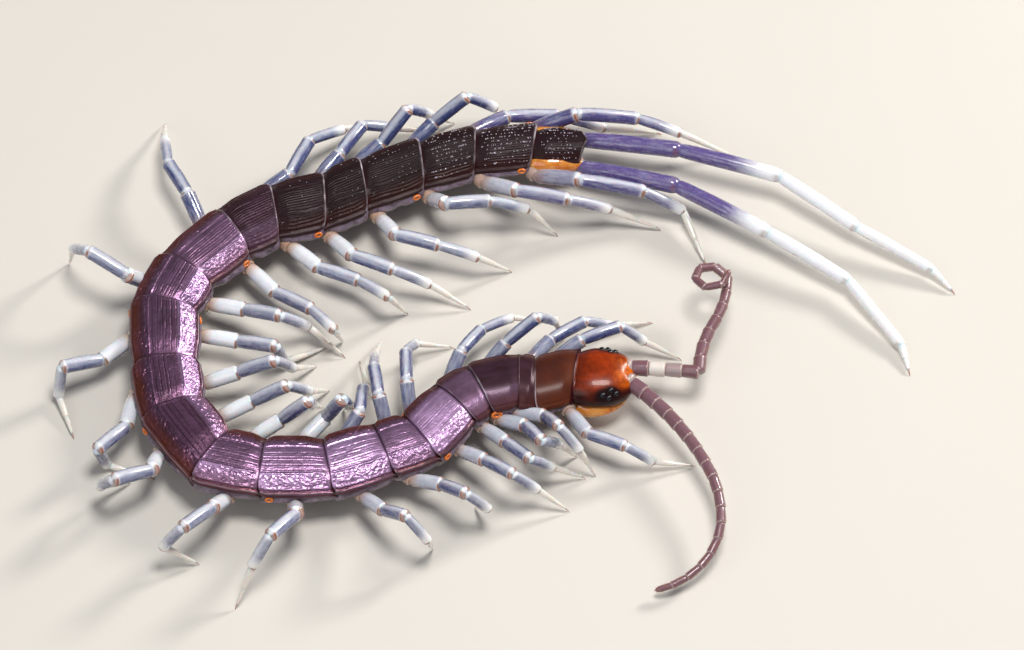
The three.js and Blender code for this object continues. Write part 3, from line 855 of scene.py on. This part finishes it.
def legPaint(number, article, blue, isLast):
    # Masks for one article: how blue its core shows, deeper on the under side as painted shade and paler
    # along the top as a painted highlight, how plum, how creamy, its warm root and its hinges.
    def paint(along, top, side):
        ends = (0.3 + 0.7 * smooth(along, 0.0, 0.08)) * (1 - 0.7 * smooth(along, 0.9, 0.97))
        # under is painted shade: the blue core shows more on the lower side
        under = smooth(-top, -0.85, 0.35)
        core, cream, root = 0.0, 0.0, 0.0
        if number == 21:
            core = [1.0, 1.05 - 1.05 * smooth(along, 0.5, 0.88), 0.05 * (1 - along), 0.0, 0.0][article]
            cream = [0.0, 0.0, 0.0, 0.1, 0.3][article]
        elif article == 0:
            # the less blue hips show their blue only underneath, as painted shade
            core = ends * (blue * (0.95 + 0.2 * under) + (1 - blue) * 0.85 * smooth(-top, -0.35, 0.35))
            root = (1 - smooth(along, 0.0, 0.4)) * (1.15 - 0.6 * blue)
        elif article == 1:
            # the pale streak along the top, from bell(top), is a painted highlight
            core = ends * (0.7 + 0.3 * under + 0.3 * blue) * (1 - 0.55 * bell(top, 1.0, 0.1))
        elif article == 2:
            core = ends * (0.55 + 0.4 * under + 0.25 * blue) * (1 - 0.4 * bell(top, 1.0, 0.1))
            core = core * (1 - smooth(along, 0.55, 0.95))
            cream = 0.35 * smooth(along, 0.6, 1)
        else:
            core = 0.12 * (1 - along)
            cream = 0.55 + 0.3 * along
        strength = 0.0 if isLast else 0.36 if number == 21 else 1.2
        hinge = strength * bell(along, 0.982, 0.024) * smooth(np.abs(side), 0.3, 0.7)
        hinge = hinge + 0.05 * bell(along, 0.97, 0.012)
        plum = 0.85 if number == 21 else 0.5 if number >= 19 else 0.12
        return {"core": core, "plum": plum, "cream": cream, "root": root, "hinge": np.clip(hinge, 0, 1)}
    return paint


def footShape(shape, start, end, radii, paint):
    # The last article is two tarsal lengths and a claw whose point touches the floor.
    along = unit(end - start)
    tip = np.array([end[0], end[1], 0.012])
    wrist = end - along * legs["claw"]
    wrist[2] = max(wrist[2], radii[1] * 1.1)
    split = start + (wrist - start) * legs["split"]
    middle = sum(radii) / 2
    articleShape(shape, start, split, (radii[0], middle), paint, 0.5)
    articleShape(shape, split, wrist, (middle * 0.93, radii[1]), paint, 0)
    sag = (wrist + tip) / 2 + up * 0.03
    centres = smoothLine([wrist - along * 0.03, wrist + along * 0.03, sag, tip], legs["clawRings"])
    shares = np.linspace(0, 1, legs["clawRings"])
    rings = tubeRings(centres, radii[1] * 0.8 * (1 - shares) ** 0.8 + 0.008, legs["clawSides"])
    shape.tube(rings, {"core": 0.0, "plum": 0.0, "cream": 0.2, "root": 0.0,
                       "hinge": 0.3 + 0.7 * shares[:, None], "lay": rings})


def buildLeg(number, sideName, side, pose, blue):
    shape = Shape()
    joints = legJoints(number, side, pose)
    scale = legs["frontWidth"] if number <= legs["frontPairs"] else 1.0
    outward = unit(joints[1] - joints[0])
    hipMarks = {"core": 0.3 + 0.3 * blue, "plum": 0.5, "cream": 0.1, "root": 1.1 - 0.4 * blue, "hinge": 0.0}
    articleShape(shape, joints[0] - outward * legs["hipSunk"], joints[1] - outward * 0.02,
                 [radius * scale for radius in legs["hipRadii"]], lambda along, top, side: hipMarks, 0)
    articles = legs["radii21"] if number == 21 else legs["radii20"] if number >= 19 else legs["radii"]
    for article, pair in enumerate(articles):
        start, end = joints[article + 1 : article + 3]
        radii = [radius * scale for radius in pair]
        isLast = article == len(articles) - 1
        paint = legPaint(number, article, blue, isLast)
        if isLast:
            footShape(shape, start, end, radii, paint)
        else:
            articleShape(shape, start, end, radii, paint, 1)
    shape.build(f"leg_{sideName}_{number}_shell", legLook, "leg", [f"leg_{sideName}_{number}"])


legLook = legCuticle()
for number in range(1, lastSegment + 2):
    buildLeg(number, "left", -1, leftPose[number - 1], leftBlue[number - 1])
    buildLeg(number, "right", 1, rightPose[number - 1], rightBlue[number - 1])
print("legs ready")


# Hip cones of the last pair, smooth and orange


def fangAmber():
    look = {"amber": "c4660c", "honey": "e2a04a", "dark": "3a1109", "pitSize": 0.12}
    shader = Shader("fangAmber")
    clouds = shader.noise(0.6 * mm)
    base = shader.mix(shader.ramp(clouds), look["amber"], look["honey"])
    base = shader.mix(shader.mark("tip"), base, look["dark"])
    relief = shader.bump(shader.cells(look["pitSize"] * mm), 0.01, 0.3)
    return shader.finish(base, shader.rough(clouds, 0.12, 0.25), (1.0, 0.04), (0.3, 0.5), {"Normal": relief})


hips = {"forward": 0.1, "reach": 2.5, "share": 0.6, "height": 1.95, "radius": 0.6, "rings": 22, "sides": 28,
        # how far along, how far aside and how far up each knot of its middle line lies
        "route": ((-0.12, 0.0, 0), (0.25, 0.06, 0.02), (0.6, 0.05, 0.0), (1.0, -0.08, -0.05))}

fangLook = fangAmber()
shape = Shape()
_, width, course, _, _ = segments[lastSegment]
for side in (-1, 1):
    outward = heading(course - 90 * side)
    base = starts[lastSegment] + heading(course) * hips["forward"] + outward * hips["share"] * width / 2
    knots = [base + heading(course) * hips["reach"] * share + outward * drift + up * (hips["height"] + rise)
             for share, drift, rise in hips["route"]]
    shares = np.linspace(0, 1, hips["rings"])
    radius = hips["radius"] * np.sqrt(np.clip(1 - ((shares - 0.38) / 0.64) ** 2, 0.01, 1)) + 0.03
    shape.tube(tubeRings(smoothLine(knots, hips["rings"]), radius, hips["sides"]), {"tip": 0.0})
shape.build("hip_cones", fangLook, "brown_shell")
print("hip cones ready")


# The head: a smooth flattened capsule with a raised rear rim, antenna sockets and eye patches


def headShell():
    look = {"amber": "922f02", "rust": "451204", "umber": "1e0a0a", "painted_glow": "d2690c", "highlight_pearl": "d8c8cc",
            "wispSize": 0.5, "cloudSize": 1.1, "pitSize": 0.16}
    shader = Shader("headShell")
    wisps = shader.noise(look["wispSize"] * mm, 6.0, 0.72)
    clouds = shader.noise(look["cloudSize"] * mm, 2.0)
    # bright: lighter towards the front and the middle, with painted shade down the curved sides
    bright = (shader.mark("bright") + (wisps - 0.5) * 2.0).held()
    base = shader.cover(shader.mix(bright, look["rust"], look["amber"]), [
        # painted glow: brighter orange at the front, painted as light glowing through the shell
        (shader.mark("painted_glow") * shader.ramp(wisps, 0.42, 0.62, 0.1, 1.0), look["painted_glow"]),
        # painted shade down the curved sides, darker at the rear and underneath, and the head's own dark
        # patches round the eyes
        ((shader.mark("side_shade_and_dark_patches") + (clouds - 0.5) * 0.5).held(), look["umber"]),
        # painted highlight along the rear rim
        (shader.mark("painted_rim_highlight") * shader.ramp(wisps, 0.3, 0.6, 0.5, 1.0), look["highlight_pearl"])])
    relief = shader.bump(shader.ramp(shader.cells(look["pitSize"] * mm), 0.0, 0.22), 0.012, 0.5)
    return shader.finish(base, shader.rough(wisps, 0.26, 0.36), (0.14, 0.08), (0.1, 0.4),
                         {"Specular IOR Level": 0.2, "Normal": relief})


head = {"course": 0, "length": 3.25, "half": 1.725, "base": 1.9, "height": 1.25, "under": 0.62,
        "middle": 0.2, "rings": 110, "around": 150, "widest": 1.1, "neckShare": 0.86, "slant": 0.17,
        "slantEnd": 1.8}
eyes = {"places": [(1.44, 1.4), (1.86, 1.18), (2.14, 1.28), (1.76, 1.48)], "radii": [0.17, 0.17, 0.16, 0.16],
        "sunk": 0.1, "flatness": 0.9}


def headPlace(forward, aside, height):
    forward, aside = np.asarray(forward, float)[..., None], np.asarray(aside, float)[..., None]
    place = starts[0] + forward * heading(head["course"]) + aside * heading(head["course"] + 90)
    place[..., 2] = height
    return place


def headOutline(forward, power, root):
    # 1 at the widest place, 0 at the front, and a little less at the neck.
    share = np.clip((forward - head["widest"]) / (head["length"] - head["widest"]), 0, 0.9999)
    rear = np.sin(np.clip(forward / head["widest"], 0, 1) * np.pi / 2)
    return (head["neckShare"] + (1 - head["neckShare"]) * rear) * (1 - share**power) ** (1 / root)


def headWidth(forward):
    return head["half"] * headOutline(forward, 2.6, 1.9)


def headTall(forward):
    return headOutline(forward, 2.8, 2.2)


def headRelief(forward, side):
    # Rear rim, antenna sockets, the notch between them, two faint furrows and a hollow before the eyes.
    outer = np.abs(side)
    relief = 0.035 * (1 - smooth(forward, 0.05, 0.1)) - 0.03 * bell(forward, 0.16, 0.04)
    relief = relief + 0.07 * bell(forward, 2.78, 0.26) * bell(outer, 0.5, 0.28)
    relief = relief - 0.05 * bell(forward, 2.9, 0.25) * bell(side, 0, 0.16)
    relief = relief - 0.012 * bell(outer, 0.28 + 0.05 * forward, 0.02) * (1 - smooth(forward, 0.6, 1.4))
    relief = relief - 0.03 * bell(forward, 1.95, 0.5) * bell(outer, 0.8, 0.12)
    return relief + 0.03 * bell(outer, 0.97, 0.03)


def headSurface(forward, side):
    # The height of the head's upper side at a share of its half width.
    rise = head["height"] * headTall(forward) - head["middle"]
    return head["base"] + head["middle"] + rise * np.clip(1 - np.abs(side) ** 2.5, 0, 1) ** 0.5


forwards = head["length"] * np.sin(np.linspace(0, np.pi / 2, head["rings"]))
forward, turn = grid(np.concatenate([[-0.06, -0.03], forwards[1:] * 0.999]), fullTurn(head["around"]))
side = np.sign(np.cos(turn)) * np.abs(np.cos(turn)) ** 0.8
outer = np.abs(side)
isTop = np.sin(turn) >= 0
middle = head["base"] + head["middle"]
lowShare = np.clip(1 - outer**2.2, 0, 1) ** 0.55
lowHeight = middle - (head["middle"] + head["under"] * headTall(forward)) * lowShare
relief = headRelief(forward, side) * isTop
closing = np.where(forward < -0.04, 0.9, 1.0)  # the hindmost ring is smaller
aside = side * (headWidth(forward) + relief) * closing
height = np.where(isTop, headSurface(forward, side), lowHeight)
height = height + relief * np.sqrt(np.clip(1 - side**2, 0, 1))
height = middle + (height - middle) * closing
patch = sum(bell(forward, place[0], 0.28) * bell(side * headWidth(forward), edge * place[1], 0.22)
            for place in eyes["places"] for edge in (-1, 1))
# Painted shade down the curved sides, a darker rear, and the dark eye patches, which are the head's own
# colour
side_shade_and_dark_patches = (0.32 * (1 - smooth(forward, -0.1, 0.8)) + 0.6 * smooth(outer, 0.6, 1.0)
        + 0.85 * np.clip(patch, 0, 1))
slant = head["slant"] * np.clip(1 - forward / head["slantEnd"], 0, 1.2)
shape = Shape()
shape.tube(headPlace(forward + slant * aside, aside, height), {
    # bright keeps the front and the middle lighter and paints shade down the curved sides
    "bright": smooth(forward, -1.6, 1.8) * (1 - smooth(outer, 0.6, 0.97)) * 0.74,
    # the glow is painted light at the front, as if glowing through the shell
    "painted_glow": smooth(forward, 1.7, 2.9) * (1 - smooth(outer, 0.5, 0.9)),
    "side_shade_and_dark_patches": np.where(isTop, np.clip(side_shade_and_dark_patches, 0, 1), 0.3),
    # a painted highlight on one side of the rear rim
    "painted_rim_highlight": 0.75 * bell(forward, 0.0, 0.035) * isTop * (1 - smooth(side, 0.2, 0.9))})
shape.build("head_shell", headShell(), "head_shell", ["head"])
print("head ready")


# Eyes: four ocelli on each side


def eyeBlack():
    shader = Shader("eyeBlack")
    clouds = shader.noise(0.1 * mm, 2.0)
    return shader.finish(shader.mix(clouds, "050507", "14121c"), shader.ramp(clouds, 0.0, 1.0, 0.1, 0.18),
                         (0.35, 0.06), more={"Specular IOR Level": 0.3})


bothSides = (("left", 1), ("right", -1))
eyeLook = eyeBlack()
for sideName, edge in bothSides:
    shape = Shape()
    for (forward, aside), radius in zip(eyes["places"], eyes["radii"]):
        height = headSurface(forward, aside / headWidth(forward)) - eyes["sunk"]
        here = headPlace(forward, edge * aside, height)
        shape.tube(ball(here, (radius, radius, radius * eyes["flatness"]), heading(head["course"])))
    shape.build(f"ocelli_{sideName}", eyeLook, "eye", [f"eyes_{sideName}"])
print("eyes ready")


# Poison claws: a thick curved base, two short rings and a dark hooked fang

fangs = {"route": [(0.15, 1.15, 1.45), (0.85, 1.48, 1.45), (1.75, 1.42, 1.52), (2.45, 1.02, 1.5),
                   (2.85, 0.42, 1.4)],
         "base": 0.52, "tip": 0.05, "rings": 70, "sides": 28, "flatness": 0.9, "joints": (0.52, 0.6, 0.68)}
# The plate that bears them, with small teeth, and the palps under the head
mouth = {"palp": [(1.35, 1.05, 1.75), (1.9, 1.28, 1.82), (2.5, 1.05, 1.85), (2.95, 0.6, 1.8),
                  (3.05, 0.25, 1.72)],
         "palpRadius": 0.2, "palpJoints": (0.4, 0.72), "palpRings": 40, "palpSides": 20,
         "rows": 24, "columns": 40, "length": (-0.55, 1.75), "half": 1.12, "height": 1.27, "thick": 0.2,
         "teeth": 4, "toothPlace": 1.7,
         "toothGap": 0.13, "tooth": (0.06, 0.16, 10)}


def headRoute(route, edge, count):
    # A smooth line through knots beside the head, on the side that edge says.
    return smoothLine([headPlace(forward, edge * aside, height) for forward, aside, height in route], count)


for sideName, edge in bothSides:
    shares = np.linspace(0, 1, fangs["rings"])
    radius = fangs["base"] + (fangs["tip"] - fangs["base"]) * shares**1.6
    radius = radius * np.sqrt(np.clip(shares / 0.06, 0.1, 1))
    dark = smooth(shares, 0.72, 0.97) * 0.9
    for joint in fangs["joints"]:
        radius = radius * (1 - 0.09 * bell(shares, joint, 0.008) + 0.04 * bell(shares, joint - 0.025, 0.014))
        dark = dark + 0.45 * bell(shares, joint, 0.008)
    line = headRoute(fangs["route"], edge, fangs["rings"])
    rings = tubeRings(line, radius, fangs["sides"], fangs["flatness"])
    shape = Shape()
    shape.tube(rings, {"tip": np.clip(dark, 0, 1)[:, None]})
    shape.build(f"fang_{sideName}", fangLook, "claw", [f"poison_claw_{sideName}"])

shape = Shape()
rows, turns = grid(np.linspace(*mouth["length"], mouth["rows"]), fullTurn(mouth["columns"]))
wide = mouth["half"] * (1 - 0.35 * smooth(rows, 0.2, 1.75))
wide = wide * np.sqrt(np.clip(1 - ((rows - 0.6) / 1.2) ** 4, 0.02, 1))
height = mouth["height"] + mouth["thick"] * np.sin(turns) * np.sqrt(np.clip(wide, 0, 1))
shape.tube(headPlace(rows, np.cos(turns) * wide, height), {"tip": 0.0})
for edge in (-1, 1):
    for number in range(mouth["teeth"]):
        here = headPlace(mouth["toothPlace"], edge * (0.14 + mouth["toothGap"] * number), mouth["height"])
        shape.tube(dome(here, heading(head["course"]), *mouth["tooth"]), {"tip": 0.8})
    shares = np.linspace(0, 1, mouth["palpRings"])
    radius = mouth["palpRadius"] * (1 - 0.55 * shares) * np.sqrt(np.clip((1.02 - shares) / 0.1, 0.05, 1))
    for joint in mouth["palpJoints"]:
        radius = radius * (1 - 0.15 * bell(shares, joint, 0.015))
    line = headRoute(mouth["palp"], edge, mouth["palpRings"])
    shape.tube(tubeRings(line, radius, mouth["palpSides"]), {"tip": 0.0})
shape.build("mouthparts", fangLook, "head_shell")
print("poison claws and mouthparts ready")


# Antennae: beaded articles with pale rings, under a coat of very short hairs


def antennaUmber():
    look = {"umber": "66485a", "brown": "7e5658", "ring": "bda79c", "milk": "d8d0c8"}
    shader = Shader("antennaUmber")
    grain = shader.noise(0.07, 4.0, 0.6, shader.mark("lay", "Vector"))
    base = shader.cover(shader.mix(shader.ramp(grain), look["umber"], look["brown"]), [
        (shader.mark("pale"), look["milk"]), (shader.mark("ring"), look["ring"])])
    return shader.finish(base, shader.rough(grain, 0.25, 0.42), (0.7, 0.12), (0.2, 0.3),
                         {"Normal": shader.bump(grain, 0.02, 0.5)})


antennae = {
    "article": 0.88, "root": (3.0, 0.5, 2.35), "baseRadius": 0.42, "tipRadius": 0.17,
    "sides": 24, "rows": 22,
    # start is the first course; each stretch is how many articles, the turn at each, and their slope
    "right": {"start": 322, "side": -1, "stretches": [(8, -3.5, -2), (3, -8, -8), (6, -13, -12)], "pale": {}},
    "left": {"start": 356, "side": 1, "pale": {1: 1.0, 2: 0.3},
             "stretches": [(4, -1, 3), (1, 93, 3), (3, -8, 3), (3, 8, 0), (6, 56, 13)]},
    "collar": 0.5, "collarRings": 14, "roundFrom": 0.55, "roundLong": 0.46,
}
hairs = {"count": 150, "bareCount": 25, "bareArticles": 3, "length": 0.08, "radius": 0.005, "lean": 1.2,
         "sunk": 0.02, "patch": 0.003, "turns": np.array([0, 2.09, 4.19])}
beadProfile = [(-0.08, 0.4), (-0.03, 0.7), (0.0, 0.84), (0.04, 0.92), (0.12, 0.96), (0.3, 0.98), (0.55, 1.0),
               (0.78, 1.02), (0.9, 1.04), (0.95, 1.02), (0.99, 0.92), (1.03, 0.72), (1.05, 0.45)]
hairFaces = [(0, 1, 4, 3), (1, 2, 5, 4), (2, 0, 3, 5), (3, 4, 6), (4, 5, 6), (5, 3, 6), (2, 1, 0)]
hairSpots = np.array([[-0.5, 0], [0, 0], [0.5, 0], [-0.4, 0.5], [0, 0.5], [0.4, 0.5], [0, 1]])
hairSpots = hairSpots * hairs["patch"]
hairDraws = np.random.default_rng(21)


def hair(coat, root, outward, along, length, patch):
    # One short hair: three sides, a slight curve and a point.
    lean = unit(outward + along * hairs["lean"])
    aside = unit(np.cross(lean, along + 0.01))
    around = oval(hairs["turns"], aside, np.cross(lean, aside)) * hairs["radius"]
    foot = root - outward * hairs["sunk"] + around
    bend = root + lean * length * 0.55 + around * 0.7
    point = root + lean * length + along * length * 0.15
    coat.add(np.vstack([foot, bend, point]), hairFaces, patch=patch + hairSpots)


def antennaHairs(coat, place, step, radius, article, total):
    # The hairs of one article. On the last one they follow its round end.
    aside = unit(np.cross(step, up))
    above = np.cross(aside, step)
    shares, swells = np.array(beadProfile).T
    for _ in range(hairs["count"] if article >= hairs["bareArticles"] else hairs["bareCount"]):
        share, turn = 0.06 + 0.88 * hairDraws.random(), hairDraws.random() * 2 * math.pi
        outward = math.cos(turn) * aside + math.sin(turn) * above
        local = radius * np.interp(share, shares, swells)
        if article == total - 1 and share > 0.6:
            local *= math.sqrt(max(0.05, 1 - ((share - antennae["roundFrom"]) / antennae["roundLong"]) ** 2))
        root = place + step * antennae["article"] * share + outward * local
        length = hairs["length"] * (0.7 + 0.6 * hairDraws.random())
        patch = ((article + share) / (total + 1) * 0.97 + 0.01, turn / 6.2832 * 0.96 + 0.02)
        hair(coat, root, outward, step, length, patch)


def articleBead(shape, place, step, radius, article, total, pale):
    # One article of an antenna. The last one has a round end.
    shares, swell = sampled(beadProfile, antennae["rows"])
    if article == total - 1:
        rounding = np.clip((shares - antennae["roundFrom"]) / antennae["roundLong"], 0, 1)
        swell = np.sqrt(np.clip(1 - rounding**2, 0.02, 1)) * 0.95
    centres = place + shares[:, None] * step * antennae["article"]
    rings = tubeRings(centres, radius * swell, antennae["sides"])
    ring = np.clip(bell(shares, 0.965, 0.03) * 0.75 + (1 - smooth(shares, 0, 0.03)) * 0.3, 0, 1)
    shape.tube(rings, {"pale": pale * smooth(shares, 0.02, 0.1)[:, None], "ring": ring[:, None],
                       "lay": rings + article})


antennaLook = antennaUmber()
hairLook = cloudyLook("hairAmber", 0.5, ("a8682c", "dca25c"), (0.4, 0.6))
for sideName, _ in bothSides:
    plan = antennae[sideName]
    shape, coat = Shape(), Shape()
    total = sum(stretch[0] for stretch in plan["stretches"])
    forward, aside, height = antennae["root"]
    place = headPlace(forward, plan["side"] * aside, height)
    shares = np.linspace(0, 1, antennae["collarRings"])
    collar = place + (shares[:, None] - 0.9) * antennae["collar"] * heading(plan["start"])
    swell = 0.5 * np.sqrt(np.clip(1 - ((shares - 0.55) / 0.6) ** 2, 0.05, 1))
    rings = tubeRings(collar, swell, antennae["sides"])
    shape.tube(rings, {"pale": 0.35, "ring": 0.3, "lay": rings})
    turned, article = plan["start"], 0
    for count, turnEach, slope in plan["stretches"]:
        for _ in range(count):
            turned += turnEach
            step = heading(turned, slope)
            thin = (article / total) ** 0.8
            radius = antennae["baseRadius"] + (antennae["tipRadius"] - antennae["baseRadius"]) * thin
            articleBead(shape, place, step, radius, article, total, plan["pale"].get(article, 0.0))
            antennaHairs(coat, place, step, radius, article, total)
            place = place + step * antennae["article"]
            article += 1
    shape.build(f"antenna_{sideName}_beads", antennaLook, "antenna", [f"antenna_{sideName}"])
    coat.build(f"antenna_{sideName}_hairs", hairLook, "antenna")
print("antennae ready")


# The floor, the lights and the camera

floorSize = 3.0  # half its side, in metres
mesh = bpy.data.meshes.new("floor")
mesh.from_pydata([(x * floorSize, y * floorSize, 0) for x, y in ((-1, -1), (1, -1), (1, 1), (-1, 1))], [],
                 [(0, 1, 2, 3)])
mesh.materials.append(cloudyLook("floorPaper", 30, ("c9c4bc", "cfcac2"), (0.6, 0.75), detail=3.0))
floor = bpy.data.objects.new("floor", mesh)
bpy.context.scene.collection.objects.link(floor)

# where each stands in mm, how wide it is in mm, its power in watts, and its colour
lamps = {
    "overhead": ((25, -15, 230), 75, 0.42, (1.0, 0.985, 0.96)),
    "window": ((175, 115, 135), 60, 0.45, (1.0, 0.97, 0.93)),
    "softbox": ((-130, -150, 150), 200, 0.16, (0.95, 0.97, 1.0)),
}
for name, (place, size, power, colour) in lamps.items():
    light = bpy.data.lights.new(name, "AREA")
    light.shape, light.size, light.energy, light.color = "DISK", size * mm, power, colour
    lamp = bpy.data.objects.new(name, light)
    lamp.location = Vector(place) * mm
    lamp.rotation_euler = (-lamp.location).to_track_quat("-Z", "Y").to_euler()
    bpy.context.scene.collection.objects.link(lamp)

sky = {"colour": (0.86, 0.9, 1.0, 1.0), "strength": 0.2}
world = bpy.data.worlds.new("studio")
world.use_nodes = True
background = world.node_tree.nodes["Background"]
background.inputs["Color"].default_value = sky["colour"]
background.inputs["Strength"].default_value = sky["strength"]
bpy.context.scene.world = world

view = {"aim": (0.2, 1.77, 0.0), "elevation": 56, "distance": 301, "lens": 200, "sensor": 36,
        "clip": (0.01, 10)}
camera = bpy.data.objects.new("camera", bpy.data.cameras.new("camera"))
camera.data.lens, camera.data.sensor_width = view["lens"], view["sensor"]
camera.data.clip_start, camera.data.clip_end = view["clip"]
rise = math.radians(view["elevation"])
away = Vector((0, -math.cos(rise), math.sin(rise))) * view["distance"]
camera.location = (Vector(view["aim"]) + away) * mm
camera.rotation_euler = (math.pi / 2 - rise, 0, 0)
bpy.context.scene.collection.objects.link(camera)
bpy.context.scene.camera = camera
bpy.context.scene.view_settings.view_transform = "Standard"
print("floor, lights and camera ready")
